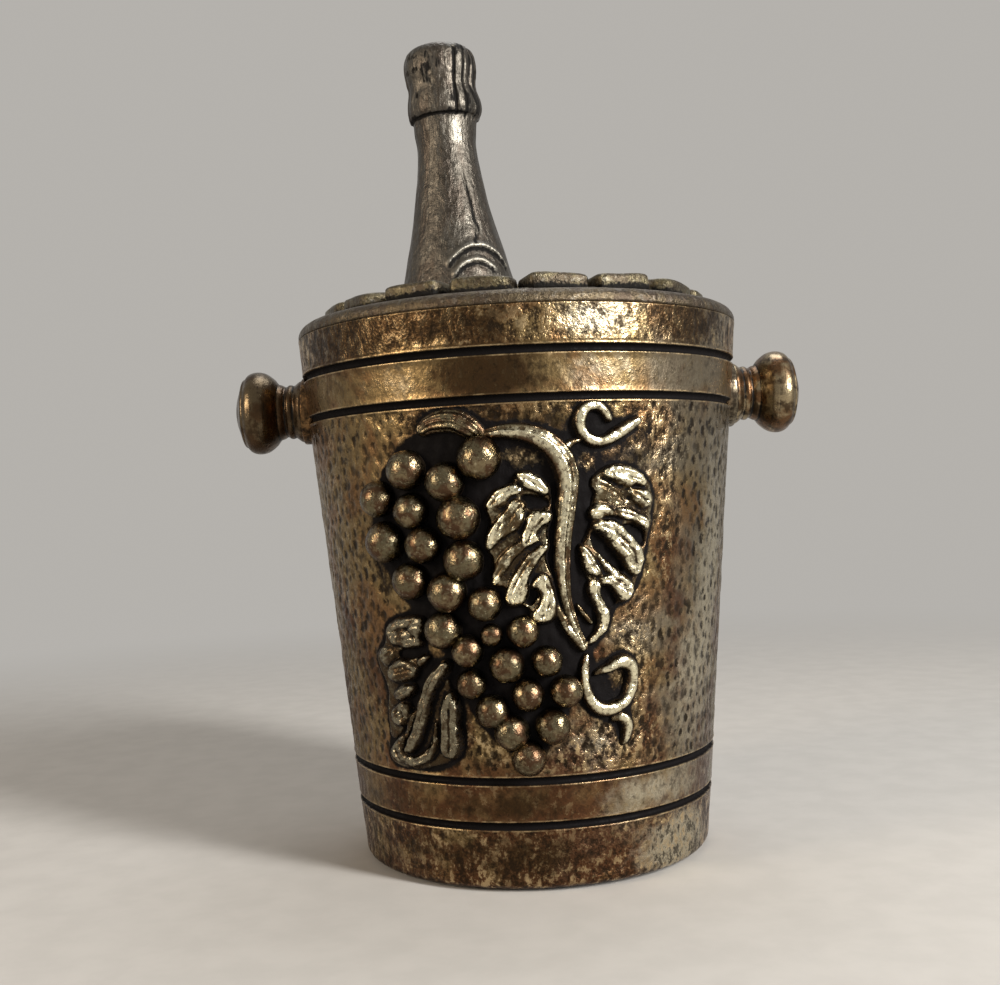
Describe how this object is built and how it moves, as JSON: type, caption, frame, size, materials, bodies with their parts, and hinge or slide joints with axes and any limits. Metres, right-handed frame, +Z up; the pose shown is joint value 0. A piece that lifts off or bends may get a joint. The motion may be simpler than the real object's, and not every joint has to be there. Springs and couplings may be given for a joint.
{
  "type": "toothpick holder",
  "caption": "Cast toothpick holder shaped as a tapered wine cooler with a grapevine relief; lifting the bottle on its lid raises the toothpicks out of an inner cup.",
  "frame": {"origin": "centre of the base, on the surface that the holder stands on", "axes": "+Z up along the bucket's axis; -Y towards the grapevine relief; the knobs point along +X and -X"},
  "size_m": [0.0786, 0.0605, 0.1119],
  "materials": {
    "antique_brass": "hammered antique brass over a zinc casting, black in the recesses",
    "gilt_relief": "pale rubbed brass on a blackened ground",
    "knob_brass": "turned antique brass",
    "bottle_pewter": "brushed grey-brown pewter with dark streaks",
    "ice_pewter": "dull green-brown pewter",
    "tube_brass": "drawn brass tube",
    "plain_steel": "zinc-plated steel",
    "cup_plastic": "moulded ivory plastic",
    "tray_plastic": "moulded cream plastic",
    "green_felt": "dark green felt"
  },
  "bodies": {
    "bucket": {"bucket_shell": "antique_brass", "grape_relief": "gilt_relief", "left_knob": "knob_brass", "right_knob": "knob_brass", "knob_washers": "plain_steel", "knob_nuts": "plain_steel", "felt_pad": "green_felt", "base_screw": "plain_steel", "liner_cup": "cup_plastic", "guide_rod": "plain_steel"},
    "lift": {"lift_tube": "tube_brass", "pick_tray": "tray_plastic", "tray_ring": "plain_steel", "pick_divider": "tray_plastic", "divider_ring": "plain_steel", "lid": "antique_brass", "ice_bed": "ice_pewter", "champagne_bottle": "bottle_pewter", "bottle_screw": "plain_steel"}
  },
  "joints": [
    {"name": "lid_lift", "type": "slide", "parent": "bucket", "child": "lift", "axis": [0, 0, 1], "range_m": [0, 0.04]}
  ]
}
